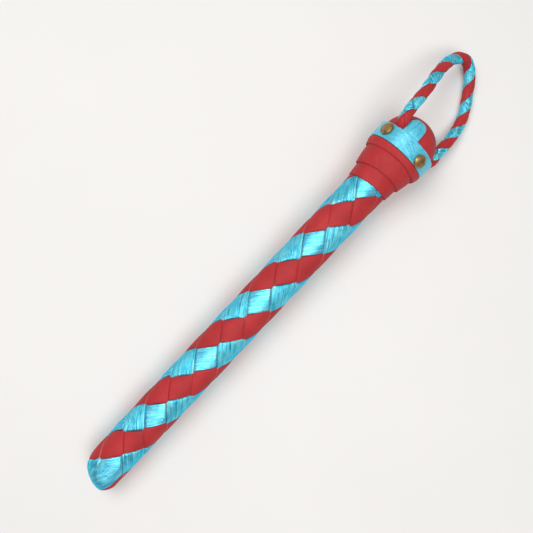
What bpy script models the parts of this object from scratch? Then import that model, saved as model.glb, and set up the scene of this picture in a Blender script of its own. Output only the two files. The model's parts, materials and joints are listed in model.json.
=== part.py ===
"""A short plaited-leather baton with a knob and a braided hanging loop, lying on its side.

Everything on the stick is laid out along its own axis: x runs from the tip to the crown, and angles
round it are measured from the top of the stick towards its right-hand side (-y). Lengths are in metres.
"""

import math

import bmesh
import bpy
import numpy as np
from mathutils import Matrix, Vector

MM = 0.001
GAP = 0.3 * MM  # air between two pieces that touch

# Driving sizes
STICK_LENGTH = 400 * MM
CORE_RADIUS = 12.7 * MM  # a one-inch dowel
LEATHER = 1.4 * MM  # thickness of the braid strands and of the wraps
CORD_RADIUS = 4.1 * MM  # the braided loop
STUD_RADIUS = 5.5 * MM  # a 7/16 inch upholstery nail

# The braid: four strands wind each way, over one and under one
STRANDS_EACH_WAY = 4
STRAND_SHARE = 0.94  # of the room each strand has, the part that it fills
CROSSING_PITCH = 15.4 * MM  # from one ring of crossings to the next, along the stick
FIRST_CROSSINGS = (26 * MM, 41 * MM, 54.5 * MM, 67.5 * MM, 82 * MM, 96.5 * MM)  # looser at the tip
TIP_EASE = 1.6  # how the strands fan out over the rounded end
LAST_CROSSING = 22  # the strands are cut off in this ring, under the collar
TIP_OPENING = 1.6 * MM  # radius at the pole where the strands are cut off
BRAID_TURN = math.radians(-3)  # turn of the whole braid round the stick
TIP_TURN = math.radians(19)  # further turn at the tip, dying out along the stick
TIP_TURN_REACH = 75 * MM
LAYER_MIDDLE = GAP + LEATHER + 0.175 * MM  # height over the core between the two layers of strands
LAYER_STEP = LEATHER / 2 + 0.175 * MM  # from there to the middle of a strand
BRAID_RADIUS = CORE_RADIUS + LAYER_MIDDLE + LAYER_STEP + LEATHER / 2
CORE_TIP = BRAID_RADIUS - CORE_RADIUS  # the core's end lies this far inside the tip
TIP_LENGTH = 9.5 * MM  # the rounded end of the core
TIP_BLUNTNESS = 1.8  # 2 is a true ellipse, less is more pointed
CORE_TIP_LENGTH = 22 * MM  # the dowel itself is rounded off a little further back
ROUND_TO = 1.2  # up to this ring the strands' grid is split round the stick, and beyond it along

# The knob, in order along the stick
COLLAR_START = 330.6 * MM
COLLAR_STEP_1 = 342.6 * MM
COLLAR_STEP_2 = 357.1 * MM
BAND_START = 363.2 * MM
BAND_END = 376.8 * MM
BAND_RADIUS = 26.1 * MM
BAND_THICKNESS = 1.6 * MM
CAP_CENTRE = 378.2 * MM
CAP_RADIUS = 23.5 * MM
CAP_REACH = STICK_LENGTH - CAP_CENTRE
DOWEL_END = 372 * MM
BLOCK_START = 346.2 * MM
CAP_START = 372.2 * MM  # the cap's edge, tucked under the band
UNDER_BAND = BAND_RADIUS - BAND_THICKNESS - GAP
EDGE = 0.4 * MM  # rounding of a cut leather edge
WRAP_OVERLAP = 1.6 * MM  # how far each wound strip runs on under the next
LEAN_COLLAR = 0.12  # the wound strips run askew: forward shift per unit of -y
LEAN_MIDDLE = 0.05

BINDING_START = 333.7 * MM
BINDING_END = 341.7 * MM
BINDING_INNER = BRAID_RADIUS + GAP
BINDING_THICKNESS = 0.6 * MM
WRAP_INNER = BINDING_INNER + BINDING_THICKNESS + GAP

TAB_MIDDLE = math.radians(-8)
TAB_HALF_WIDTH = 7.4 * MM
TAB_END = 392 * MM
TAB_CORNER = 4 * MM
TAB_THICKNESS = 1.2 * MM
TAB_CELLS = 8  # grid cells along the tab, and across it

STUD_PLACE = 369.4 * MM
STUD_LEAN = 0.07  # the row of studs runs askew too
STUD_RIM = 0.35 * MM  # the upright edge of a stud's head
STUD_SEAT = BAND_RADIUS + STUD_RIM + GAP
STUD_ANGLES = [math.radians(a) for a in (-48, 36, 132, 222)]
STUD_HEIGHT = 2.6 * MM
SHANK_RADIUS = 0.8 * MM
SHANK_LENGTH = 8 * MM

# The loop hinges on the line through the two places where it leaves the crown
LOOP_EXIT_X = 383.2 * MM
LOOP_EXIT_RADIUS = CAP_RADIUS + CORD_RADIUS
EXIT_ANGLES = [math.radians(a) for a in (-38, 115)]
ROOT_DEPTH = 9 * MM
LOOP_POINTS = 34
# Where the cord's middle line passes between its exits, in mm from the middle of the footprint
LOOP_GUIDES = [
    (194.3, 17.2, 47.7),
    (210.5, 17.9, 43),
    (229, 20.2, 36),
    (244.5, 21, 28),
    (256.7, 18.7, 21),
    (264.5, 13, 15),
    (265.2, 6.3, 10),
    (260, -1.4, 7),
    (252.4, -7.4, 5.2),
    (242.6, -14.2, 4.6),
    (232.5, -19.7, 4.6),
    (220.9, -23, 6.5),
    (207, -24.4, 10),
    (193.2, -24.3, 14),
]

# The stick lies on its band and on the braid near its tip
REST_NEAR_TIP = 16 * MM
BAND_SEGMENTS = 48
ROUND_SEGMENTS = 40
FACET = math.cos(math.pi / BAND_SEGMENTS)
LIE = math.atan((BAND_RADIUS * FACET - BRAID_RADIUS) / (BAND_START - REST_NEAR_TIP))
AXIS_HEIGHT = BRAID_RADIUS / math.cos(LIE) - REST_NEAR_TIP * math.tan(LIE)

MATERIALS = {
    "leather_red": ((0.53, 0.035, 0.04), 0.62, 0.0),
    "leather_blue": ((0.05, 0.50, 0.75), 0.34, 0.55),
    "wood": ((0.55, 0.36, 0.19), 0.7, 0.0),
    "thread": ((0.12, 0.10, 0.08), 0.8, 0.0),
    "brass": ((0.42, 0.26, 0.10), 0.38, 1.0),
}


def clear_scene():
    for obj in list(bpy.data.objects):
        bpy.data.objects.remove(obj)


def material(kind):
    """The material called kind, made when it is first asked for."""
    found = bpy.data.materials.get(kind)
    if found:
        return found
    colour, roughness, metallic = MATERIALS[kind]
    made = bpy.data.materials.new(kind)
    made.use_nodes = True
    shader = made.node_tree.nodes["Principled BSDF"]
    shader.inputs["Base Color"].default_value = (*colour, 1)
    shader.inputs["Roughness"].default_value = roughness
    shader.inputs["Metallic"].default_value = metallic
    return made


def finish(bm, name, kind, frame, sharp=40):
    """Turns a bmesh into a smooth-shaded object with crisp edges, hung on the frame."""
    bmesh.ops.recalc_face_normals(bm, faces=bm.faces)
    if bm.calc_volume(signed=True) < 0:
        bmesh.ops.reverse_faces(bm, faces=bm.faces)
    for face in bm.faces:
        face.smooth = True
    for edge in bm.edges:
        edge.smooth = edge.calc_face_angle(0) < math.radians(sharp)
    mesh = bpy.data.meshes.new(name)
    bm.to_mesh(mesh)
    bm.free()
    mesh.materials.append(material(kind))
    obj = bpy.data.objects.new(name, mesh)
    bpy.context.scene.collection.objects.link(obj)
    obj.parent = frame
    return obj


def make_frame():
    """The empty that carries the stick: x is the stick's axis, and the tip's pole is its origin."""
    frame = bpy.data.objects.new("stick_frame", None)
    bpy.context.scene.collection.objects.link(frame)
    frame.location = (-STICK_LENGTH / 2, 0, AXIS_HEIGHT)
    frame.rotation_euler = (0, -LIE, 0)
    return frame


def around(x, radius, angle):
    """The point at this place along, out from and round the stick's axis."""
    return Vector((x, -radius * math.sin(angle), radius * math.cos(angle)))


def revolve(bm, outline, segments, offset=0.0):
    """Turns an outline of (x, radius, lean) once round the axis. Points of radius 0 become poles."""
    rings = []
    for x, radius, lean in outline:
        if radius == 0:
            rings.append([bm.verts.new((x, 0, 0))])
            continue
        ring = []
        for k in range(segments):
            point = around(x, radius, 2 * math.pi * (k + offset) / segments)
            point.x -= lean * point.y
            ring.append(bm.verts.new(point))
        rings.append(ring)
    closed = outline[0][1] > 0
    for first, second in zip(rings, rings[1:] + rings[:1] if closed else rings[1:]):
        for k in range(segments):
            corners = [first[k % len(first)], first[(k + 1) % segments % len(first)]]
            corners += [second[(k + 1) % segments % len(second)], second[k % len(second)]]
            corners = list(dict.fromkeys(corners))
            if len(corners) > 2:
                bm.faces.new(corners)


def turned(name, kind, frame, outline, segments=ROUND_SEGMENTS, offset=0.0):
    """A turned piece. An outline given as (x, radius) has no lean."""
    bm = bmesh.new()
    points = [(p[0], p[1], p[2] if len(p) > 2 else 0.0) for p in outline]
    revolve(bm, points, segments, offset)
    return finish(bm, name, kind, frame)


# ---------------------------------------------------------------- the core and its rounded end


def rounded_end(steps, start, length):
    """Points (x, radius) of an end that is rounded over this length, from the pole to the full radius."""
    points = []
    for k in range(steps + 1):
        t = math.pi / 2 * k / steps
        x = start + length * (1 - math.cos(t) ** (2 / TIP_BLUNTNESS))
        points.append((x, CORE_RADIUS * math.sin(t) ** (2 / TIP_BLUNTNESS)))
    return points


class Meridian:
    """The core's outline followed from the pole: place, radius and outward normal by distance."""

    def __init__(self):
        ends = rounded_end(400, CORE_TIP, TIP_LENGTH)
        ends.append((STICK_LENGTH, CORE_RADIUS))
        self.x, self.radius = np.array(ends).T
        steps = np.hypot(np.diff(self.x), np.diff(self.radius))
        self.distance = np.concatenate([[0], np.cumsum(steps)])
        slope_x = np.gradient(self.x, self.distance)
        slope_r = np.gradient(self.radius, self.distance)
        slope_x[0], slope_r[-1] = 0.0, 0.0
        length = np.hypot(slope_x, slope_r)
        self.normal_x, self.normal_r = -slope_r / length, slope_x / length
        self.straight_from = self.distance[-2] - self.x[-2]

    def at(self, distance, height):
        """(x, radius) of the point this far along the outline and this high over it."""
        pick = [np.interp(distance, self.distance, row) for row in self.rows()]
        return pick[0] + height * pick[2], pick[1] + height * pick[3]

    def rows(self):
        return self.x, self.radius, self.normal_x, self.normal_r


def core_dowel(frame):
    outline = rounded_end(7, CORE_TIP + 0.8 * MM, CORE_TIP_LENGTH)
    outline[0] = (outline[0][0], 0)
    outline += [(DOWEL_END, CORE_RADIUS), (DOWEL_END, 0)]
    return turned("core_dowel", "wood", frame, outline)


# ---------------------------------------------------------------- the braid


def ring_distance(ring, meridian):
    """How far along the outline a ring of crossings lies. Rings count up from 0 at the pole."""
    places = list(FIRST_CROSSINGS)
    while len(places) < LAST_CROSSING:
        places.append(places[-1] + CROSSING_PITCH)
    places = [place + meridian.straight_from for place in places]
    if ring >= 1:
        return float(np.interp(ring, range(1, LAST_CROSSING + 1), places))
    return TIP_OPENING + (places[0] - TIP_OPENING) * max(ring, 0) ** TIP_EASE


def strand_height(along, own, right_hand):
    """Height of a strand over the core where it passes the crosswise strand numbered along."""
    nearest = round(along)
    even = (nearest - own) % 2 == 0
    over = 1 if even == right_hand else -1
    to_edge = STRAND_SHARE / 2
    beyond = abs(along - nearest) - to_edge
    if beyond <= 0:
        return LAYER_MIDDLE + over * LAYER_STEP
    return LAYER_MIDDLE + over * LAYER_STEP * (1 - beyond / (0.5 - to_edge))


def braid_point(a, b, height, meridian):
    """The point where right-hand line a crosses left-hand line b, this high over the core."""
    ring = b - a
    distance = ring_distance(ring, meridian)
    x, radius = meridian.at(distance, height)
    x_on_core = float(np.interp(distance, meridian.distance, meridian.x))
    turn = BRAID_TURN + TIP_TURN * math.exp(-((x_on_core / TIP_TURN_REACH) ** 2))
    angle = turn + (a + b - 1) * math.pi / STRANDS_EACH_WAY
    return around(x, radius, angle)


def strand_lines():
    """Where grid lines cross one strand: its two edges and its middle."""
    half = STRAND_SHARE / 2
    return [-half, 0, half]



def strand_sheet(bm, own, right_hand, side):
    """One face of a strand, laid flat with (a, b) as its plane and side as its third coordinate."""
    across = [own + line for line in strand_lines()]
    first, last = own, own + LAST_CROSSING
    if not right_hand:
        first, last = own - LAST_CROSSING, own
    along = [n + line for n in range(first, last + 1) for line in strand_lines()]
    verts = {}

    def vert(i, j):
        if (i, j) not in verts:
            a, b = (across[i], along[j]) if right_hand else (along[j], across[i])
            verts[i, j] = bm.verts.new((a, b, side))
        return verts[i, j]

    for i in range(len(across) - 1):
        for j in range(len(along) - 1):
            low, high = vert(i, j), vert(i + 1, j + 1)
            left, right = vert(i, j + 1), vert(i + 1, j)
            if ROUND_TO < ring_of(low) < LAST_CROSSING - 0.01:
                halves = ((low, left, right), (left, high, right))
            else:
                halves = ((low, left, high), (low, high, right))
            for corners in halves:
                rings = [ring_of(corner) for corner in corners]
                if min(rings) > -1e-6 and max(rings) < LAST_CROSSING + 1e-6:
                    bm.faces.new(corners)


def ring_of(vert):
    """The ring of crossings that a flat-laid vertex lies on, counted from 0 at the pole."""
    return vert.co.y - vert.co.x


def refine(bm, low, high):
    """Halves the grid between these two rings, where it has to follow a tighter shape."""
    near = [e for e in bm.edges if all(low < ring_of(v) < high for v in e.verts)]
    near = [e for e in near if e.verts[0].co.z == e.verts[1].co.z]
    bmesh.ops.subdivide_edges(bm, edges=near, cuts=1)
    bmesh.ops.triangulate(bm, faces=[f for f in bm.faces if len(f.verts) > 3])


def strand(own, right_hand, name, kind, frame, meridian):
    """One braid strand: two sheets joined round their rims, then bent onto the core."""
    bm = bmesh.new()
    for side in (-1, 1):
        strand_sheet(bm, own, right_hand, side)
    loose = [v for v in bm.verts if not v.link_faces]
    bmesh.ops.delete(bm, geom=loose, context="VERTS")
    refine(bm, -1, 1.5)
    refine(bm, -1, 0.9)
    refine(bm, LAST_CROSSING - 0.6, LAST_CROSSING + 1)
    join_rims(bm)
    for vert in bm.verts:
        a, b, side = vert.co
        along = b if right_hand else a
        height = strand_height(along, own, right_hand) + side * LEATHER / 2
        vert.co = braid_point(a, b, height, meridian)
    return finish(bm, name, kind, frame)


def join_rims(bm):
    """Closes the narrow wall between the rims of the two sheets."""
    rim = [e for e in bm.edges if e.is_boundary]
    upper = {(round(v.co.x, 5), round(v.co.y, 5)): v for v in bm.verts if v.co.z > 0}
    for edge in rim:
        if edge.verts[0].co.z > 0:
            continue
        first, second = edge.verts
        above = [upper[round(v.co.x, 5), round(v.co.y, 5)] for v in (second, first)]
        bm.faces.new((first, second, *above))


def braid(frame):
    meridian = Meridian()
    for own in range(STRANDS_EACH_WAY):
        colour = "blue" if own % 2 == 0 else "red"
        strand(own, True, f"strand_right_{own + 1}", f"leather_{colour}", frame, meridian)
    for own in range(STRANDS_EACH_WAY):
        colour = "red" if own % 2 == 0 else "blue"
        strand(own, False, f"strand_left_{own + 1}", f"leather_{colour}", frame, meridian)


# ---------------------------------------------------------------- the collar and the knob


def thread_binding(frame):
    """The waxed thread that holds the ends of the strands down, as one flat ring of turns."""
    outer = BINDING_INNER + BINDING_THICKNESS
    outline = [(BINDING_END, BINDING_INNER), (BINDING_START, BINDING_INNER)]
    outline += [(BINDING_START, outer), (BINDING_END, outer)]
    return turned("strand_binding", "thread", frame, outline)


def wrap_outline(points, inner, start_lean, end_lean):
    """A wrap's closed outline: outer points in order, then inner points back, leaning evenly."""
    first, last = points[0][0], max(p[0] for p in points)
    both = [*points, *inner]
    slope = (end_lean - start_lean) / (last - first)
    return [(x, r, start_lean + slope * (min(max(x, first), last) - first)) for x, r in both]


def collar_wraps(frame):
    """Three strips wound side by side, each overlapping the one before, growing into the knob."""
    lower_end = COLLAR_STEP_1 + WRAP_OVERLAP
    lower = wrap_outline(
        [
            (COLLAR_START, 17.2 * MM),
            (COLLAR_START + EDGE, 17.8 * MM),
            (COLLAR_START + 6 * MM, 18.5 * MM),
            (lower_end, 18.9 * MM),
        ],
        [(lower_end, WRAP_INNER), (COLLAR_START + EDGE, WRAP_INNER), (COLLAR_START, 16.8 * MM)],
        LEAN_COLLAR,
        LEAN_MIDDLE,
    )
    middle_end = COLLAR_STEP_2 + WRAP_OVERLAP
    middle = wrap_outline(
        [
            (COLLAR_STEP_1, 19.9 * MM),
            (COLLAR_STEP_1 + EDGE, 20.5 * MM),
            (COLLAR_STEP_1 + 8 * MM, 22.3 * MM),
            (middle_end, 23.2 * MM),
        ],
        [
            (middle_end, 21.6 * MM),
            (COLLAR_STEP_1 + 8 * MM, 20.7 * MM),
            (lower_end + GAP, 19.2 * MM),
            (COLLAR_STEP_1, 19.2 * MM),
        ],
        LEAN_MIDDLE,
        LEAN_MIDDLE,
    )
    lip_end = BAND_START - GAP
    lip = wrap_outline(
        [
            (COLLAR_STEP_2, 24.2 * MM),
            (COLLAR_STEP_2 + EDGE, 24.8 * MM),
            (lip_end - 2 * MM, 25.8 * MM),
            (lip_end - EDGE, 25.8 * MM),
            (lip_end, 25.4 * MM),
        ],
        [(lip_end, 23.9 * MM), (middle_end + GAP, 23.5 * MM), (COLLAR_STEP_2, 23.5 * MM)],
        LEAN_MIDDLE,
        0.0,
    )
    for name, outline in (("lower", lower), ("middle", middle), ("lip", lip)):
        turned(f"collar_wrap_{name}", "leather_red", frame, outline)


def stud_band(frame):
    """The band under the studs. It widens with the lie of the stick, so its lowest facet lies flat."""
    grow = math.tan(LIE) / FACET
    end_radius = BAND_RADIUS + grow * (BAND_END - BAND_START)
    inner = BAND_RADIUS - BAND_THICKNESS
    outline = [
        (BAND_START, BAND_RADIUS),
        (BAND_END, end_radius),
        (BAND_END, inner),
        (BAND_START, inner),
    ]
    return turned("stud_band", "leather_blue", frame, outline, BAND_SEGMENTS, offset=0.5)


def dome_outline(shrink, start, steps):
    """Points of the dome, made smaller all round by shrink, from start to the crown."""
    radius, reach = CAP_RADIUS - shrink, CAP_REACH - shrink
    points = [(start, radius)]
    for k in range(1, steps):
        t = math.pi / 2 * k / steps
        points.append((CAP_CENTRE + reach * math.sin(t), radius * math.cos(t)))
    return [*points, (CAP_CENTRE + reach, 0)]


def knob_block(frame):
    """The turned block that fills the knob, bored for the core."""
    bore = CORE_RADIUS + GAP
    seat = CAP_START - 0.4 * MM
    outline = [
        (DOWEL_END + GAP, 0),
        (DOWEL_END + GAP, bore),
        (BLOCK_START, bore, LEAN_MIDDLE),
        (BLOCK_START, 18.9 * MM, LEAN_MIDDLE),
        (COLLAR_STEP_1 + 8 * MM, 20.3 * MM, LEAN_MIDDLE),
        (COLLAR_STEP_2 + WRAP_OVERLAP + GAP, 21.2 * MM, LEAN_MIDDLE),
        (COLLAR_STEP_2 + WRAP_OVERLAP + GAP, 23.1 * MM, LEAN_MIDDLE),
        (BAND_START, 23.2 * MM),
        (BAND_START, UNDER_BAND),
        (seat, UNDER_BAND),
    ]
    outline += dome_outline(LEATHER + GAP, seat, 6)
    return turned("knob_block", "wood", frame, outline)


def dome_cap(frame):
    """The leather drawn over the end of the block, its edge tucked under the band."""
    outer = [(CAP_START, UNDER_BAND), (BAND_END, UNDER_BAND), *dome_outline(0, CAP_CENTRE, 9)]
    inner = dome_outline(LEATHER, CAP_CENTRE, 9)[::-1]
    inner.append((CAP_START, CAP_RADIUS - LEATHER))
    bm = bmesh.new()
    revolve_open_cup(bm, outer, inner)
    return finish(bm, "dome_cap", "leather_red", frame)


def revolve_open_cup(bm, outer, inner):
    """A cup: the outer outline runs from rim to pole and the inner one from pole to rim."""
    rim_pair = []
    for outline, rim_at in ((outer, 0), (inner, -1)):
        before = set(bm.verts)
        revolve_open(bm, outline)
        made = [v for v in bm.verts if v not in before]
        x, radius = outline[rim_at]
        rim = [v for v in made if abs(v.co.x - x) < 1e-7 and abs(v.co.yz.length - radius) < 1e-7]
        rim.sort(key=lambda v: math.atan2(v.co.y, v.co.z))
        rim_pair.append(rim)
    count = len(rim_pair[0])
    for k in range(count):
        nxt = (k + 1) % count
        bm.faces.new((rim_pair[0][k], rim_pair[0][nxt], rim_pair[1][nxt], rim_pair[1][k]))


def revolve_open(bm, outline):
    """Turns an outline that ends in one pole, leaving its other end open."""
    rings = []
    for x, radius in outline:
        angles = [2 * math.pi * k / ROUND_SEGMENTS for k in range(ROUND_SEGMENTS)]
        points = [around(x, radius, a) for a in angles] if radius else [Vector((x, 0, 0))]
        rings.append([bm.verts.new(p) for p in points])
    for first, second in zip(rings, rings[1:]):
        for k in range(ROUND_SEGMENTS):
            nxt = (k + 1) % ROUND_SEGMENTS
            corners = [first[k % len(first)], first[nxt % len(first)]]
            corners += [second[nxt % len(second)], second[k % len(second)]]
            bm.faces.new(list(dict.fromkeys(corners)))


def crown_tab(frame):
    """The blue tab that runs from the band a short way over the dome."""
    bm = bmesh.new()
    layers = [tab_rows(bm, height) for height in (2 * GAP, 2 * GAP + TAB_THICKNESS)]
    bottom, top = layers
    for i in range(TAB_CELLS):
        for j in range(TAB_CELLS):
            for rows in layers:
                bm.faces.new((rows[i][j], rows[i][j + 1], rows[i + 1][j + 1], rows[i + 1][j]))
    for n in range(TAB_CELLS):
        for rim in (0, TAB_CELLS):
            sides = (bottom[n][rim], bottom[n + 1][rim], top[n + 1][rim], top[n][rim])
            ends = (bottom[rim][n], bottom[rim][n + 1], top[rim][n + 1], top[rim][n])
            bm.faces.new(sides)
            bm.faces.new(ends)
    return finish(bm, "crown_tab", "leather_blue", frame)


def tab_rows(bm, height):
    """The tab's grid at this height over the dome, row by row from the band to its rounded end."""
    start = BAND_END + GAP
    rows = []
    for i in range(TAB_CELLS + 1):
        x = start + (TAB_END - start) * i / TAB_CELLS
        past = max(0.0, x - (TAB_END - TAB_CORNER)) / TAB_CORNER
        narrow = TAB_HALF_WIDTH - TAB_CORNER * (1 - math.sqrt(max(0.0, 1 - past * past)))
        sideways = [narrow * (2 * j / TAB_CELLS - 1) for j in range(TAB_CELLS + 1)]
        rows.append([bm.verts.new(on_dome(x, TAB_MIDDLE, side, height)) for side in sideways])
    return rows


def on_dome(x, middle, sideways, height):
    """A point over the dome at x, this far sideways from the meridian at the angle middle."""
    t = math.asin(min(1.0, max(0.0, x - CAP_CENTRE) / CAP_REACH))
    radius = CAP_RADIUS * math.cos(t)
    x_out, r_out = height * math.sin(t), height * math.cos(t)
    return around(x + x_out, radius + r_out, middle + sideways / CAP_RADIUS)


# ---------------------------------------------------------------- the studs


def stud_frame(angle):
    """Places a stud: z out of the band, at its place on it."""
    x = STUD_PLACE - STUD_LEAN * BAND_RADIUS * math.sin(angle)
    seat = around(x, STUD_SEAT, angle)
    outward = around(0, 1, angle)
    forward = Vector((1, 0, 0))
    side = outward.cross(forward)
    turn = Matrix((forward, side, outward)).transposed().to_4x4()
    return Matrix.Translation(seat) @ turn


def stud_nail(number, angle, frame):
    """An upholstery nail: a domed head and its shank, driven into the block."""
    bm = bmesh.new()
    rings, segments = 4, 18
    outline = [(-SHANK_LENGTH, 0), (-SHANK_LENGTH + SHANK_RADIUS, SHANK_RADIUS), (0, SHANK_RADIUS)]
    outline += [(0, STUD_RADIUS), (STUD_RIM, STUD_RADIUS)]
    for k in range(1, rings):
        t = math.pi / 2 * k / rings
        lift = STUD_RIM + (STUD_HEIGHT - STUD_RIM) * math.sin(t)
        outline.append((lift, STUD_RADIUS * math.cos(t)))
    outline.append((STUD_HEIGHT, 0))
    revolve(bm, [(x, r, 0) for x, r in outline], segments)
    upright = Matrix(((0, 1, 0), (0, 0, 1), (1, 0, 0))).to_4x4()
    bm.transform(upright)
    obj = finish(bm, f"stud_nail_{number}", "brass", frame)
    obj.matrix_local = stud_frame(angle)
    return obj


def cutter(name, frame, places, radius, depth, lift):
    """One hidden cutter of several cylinders. Each stands on a place's z axis, from -depth to lift."""
    bm = bmesh.new()
    for place in places:
        middle = place @ Matrix.Translation((0, 0, (lift - depth) / 2))
        bmesh.ops.create_cone(
            bm,
            cap_ends=True,
            segments=16,
            radius1=radius,
            radius2=radius,
            depth=lift + depth,
            matrix=middle,
        )
    obj = finish(bm, name, "thread", frame)
    obj.hide_render = True
    obj.display_type = "WIRE"
    return obj


def drill(obj, tool):
    cut = obj.modifiers.new(tool.name, "BOOLEAN")
    cut.operation = "DIFFERENCE"
    cut.solver = "EXACT"
    cut.object = tool


# ---------------------------------------------------------------- the loop


def exit_frame(angle):
    """Where the cord leaves the crown: z points out of the dome."""
    outward = around(0, 1, angle)
    forward = Vector((1, 0, 0))
    turn = Matrix((forward, outward.cross(forward), outward)).transposed().to_4x4()
    return Matrix.Translation(around(LOOP_EXIT_X, LOOP_EXIT_RADIUS, angle)) @ turn


def loop_root(number, angle, frame):
    """The end of the cord that is fixed in the knob, up to just under its hinge point."""
    bm = bmesh.new()
    top = -(CORD_RADIUS + GAP)
    middle = Matrix.Translation((0, 0, top - ROOT_DEPTH / 2))
    bmesh.ops.create_cone(
        bm,
        cap_ends=True,
        segments=20,
        radius1=CORD_RADIUS,
        radius2=CORD_RADIUS,
        depth=ROOT_DEPTH,
        matrix=middle,
    )
    colour = "red" if number == 1 else "blue"
    obj = finish(bm, f"loop_root_{number}", f"leather_{colour}", frame)
    obj.matrix_local = exit_frame(angle)
    return obj


def loop_route(frame):
    """The cord's middle line from exit to exit, in world coordinates, as a few guiding points."""
    world = Matrix.Translation(frame.location) @ frame.rotation_euler.to_matrix().to_4x4()
    first, last = (world @ around(LOOP_EXIT_X, LOOP_EXIT_RADIUS, a) for a in EXIT_ANGLES)
    guides = [Vector(guide) * MM for guide in LOOP_GUIDES]
    floor = CORD_RADIUS + 0.2 * MM
    for guide in guides:
        guide.z = max(guide.z, floor)
    return [first, *guides, last]


def smooth_through(points, count):
    """Evenly spaced points on a smooth curve through these ones."""
    fine = []
    steps = 24
    padded = [2 * points[0] - points[1], *points, 2 * points[-1] - points[-2]]
    for p0, p1, p2, p3 in zip(padded, padded[1:], padded[2:], padded[3:]):
        slope = p2 - p0
        bend = 2 * p0 - 5 * p1 + 4 * p2 - p3
        twist = 3 * p1 - p0 - 3 * p2 + p3
        for k in range(steps):
            t = k / steps
            fine.append(0.5 * (2 * p1 + slope * t + bend * t**2 + twist * t**3))
    fine.append(points[-1])
    flat = np.array(fine)
    run = np.concatenate([[0], np.cumsum(np.linalg.norm(np.diff(flat, axis=0), axis=1))])
    places = np.linspace(0, run[-1], count)
    return [Vector([np.interp(place, run, flat[:, axis]) for axis in range(3)]) for place in places]


def wrist_loop(frame):
    """The braided loop as one tube, hung on an empty that sits on its hinge line."""
    route = loop_route(frame)
    hinge = bpy.data.objects.new("loop_hinge", None)
    bpy.context.scene.collection.objects.link(hinge)
    hinge.location = (route[0] + route[-1]) / 2
    curve = bpy.data.curves.new("wrist_loop", "CURVE")
    curve.dimensions = "3D"
    curve.bevel_depth = CORD_RADIUS
    curve.bevel_resolution = 2
    curve.use_fill_caps = True
    points = smooth_through(route, LOOP_POINTS)
    spline = curve.splines.new("POLY")
    spline.points.add(len(points) - 1)
    for point, place in zip(spline.points, points):
        point.co = (*(place - hinge.location), 1)
    curve.materials.append(material("leather_red"))
    loop = bpy.data.objects.new("wrist_loop", curve)
    bpy.context.scene.collection.objects.link(loop)
    loop.parent = hinge
    return loop


def build():
    clear_scene()
    frame = make_frame()
    core_dowel(frame)
    braid(frame)
    thread_binding(frame)
    collar_wraps(frame)
    band, block, cap = stud_band(frame), knob_block(frame), dome_cap(frame)
    crown_tab(frame)
    studs = [stud_frame(angle) for angle in STUD_ANGLES]
    exits = [exit_frame(angle) for angle in EXIT_ANGLES]
    nail_depth = SHANK_LENGTH + GAP
    nail_holes = cutter("cut_nail_holes", frame, studs, SHANK_RADIUS + GAP, nail_depth, 1 * MM)
    root_depth = CORD_RADIUS + 2 * GAP + ROOT_DEPTH
    cord_holes = cutter("cut_cord_holes", frame, exits, CORD_RADIUS + GAP, root_depth, 0)
    drill(band, nail_holes)
    for piece in (block, cap):
        drill(piece, nail_holes)
        drill(piece, cord_holes)
    for number, angle in enumerate(STUD_ANGLES, 1):
        stud_nail(number, angle, frame)
    for number, angle in enumerate(EXIT_ANGLES, 1):
        loop_root(number, angle, frame)
    wrist_loop(frame)
    bpy.context.view_layer.update()


build()
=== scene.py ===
"""A short plaited-leather baton with a studded knob and a braided hanging loop, on a pale table.

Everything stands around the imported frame, in metres. On the stick, x runs along its axis from the tip's
pole, and angles round it are measured from its top towards -y.
"""

import json
import math

import bpy
import numpy as np
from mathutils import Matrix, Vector


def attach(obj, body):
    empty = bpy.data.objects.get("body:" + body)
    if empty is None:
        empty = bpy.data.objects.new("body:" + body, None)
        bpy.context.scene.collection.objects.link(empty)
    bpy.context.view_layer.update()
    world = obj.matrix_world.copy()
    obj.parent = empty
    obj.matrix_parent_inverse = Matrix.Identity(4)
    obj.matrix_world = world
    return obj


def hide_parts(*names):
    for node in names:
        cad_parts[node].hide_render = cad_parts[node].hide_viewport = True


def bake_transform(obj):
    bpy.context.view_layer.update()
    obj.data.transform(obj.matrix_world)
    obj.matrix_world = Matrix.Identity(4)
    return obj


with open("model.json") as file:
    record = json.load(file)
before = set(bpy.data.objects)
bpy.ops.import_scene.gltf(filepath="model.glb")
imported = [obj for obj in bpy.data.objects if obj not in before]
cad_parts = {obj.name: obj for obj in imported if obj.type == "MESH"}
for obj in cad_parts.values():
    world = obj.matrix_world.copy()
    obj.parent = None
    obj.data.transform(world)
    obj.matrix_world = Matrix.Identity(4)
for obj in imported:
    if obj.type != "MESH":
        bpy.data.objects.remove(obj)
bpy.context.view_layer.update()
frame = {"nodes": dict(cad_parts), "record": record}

MM = 0.001
SLOTS = {part["node"]: part["material_slot"] for part in frame["record"]["subparts"]}

# These repeat the part's own sizes, except where a comment says otherwise.
CORE_RADIUS = 12.7 * MM
LEATHER = 1.4 * MM
GAP = 0.3 * MM
LAYER_GAP = 0.35 * MM  # between the two layers of strands
LAYER_MIDDLE = GAP + LEATHER + LAYER_GAP / 2
LAYER_STEP = (LEATHER + LAYER_GAP) / 2
BRAID_RADIUS = CORE_RADIUS + LAYER_MIDDLE + LAYER_STEP + LEATHER / 2
CORE_TIP = BRAID_RADIUS - CORE_RADIUS
TIP_LENGTH = 9.5 * MM
TIP_BLUNTNESS = 1.8
DOWEL_END = 372 * MM
STICK_LENGTH = 400 * MM

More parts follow.
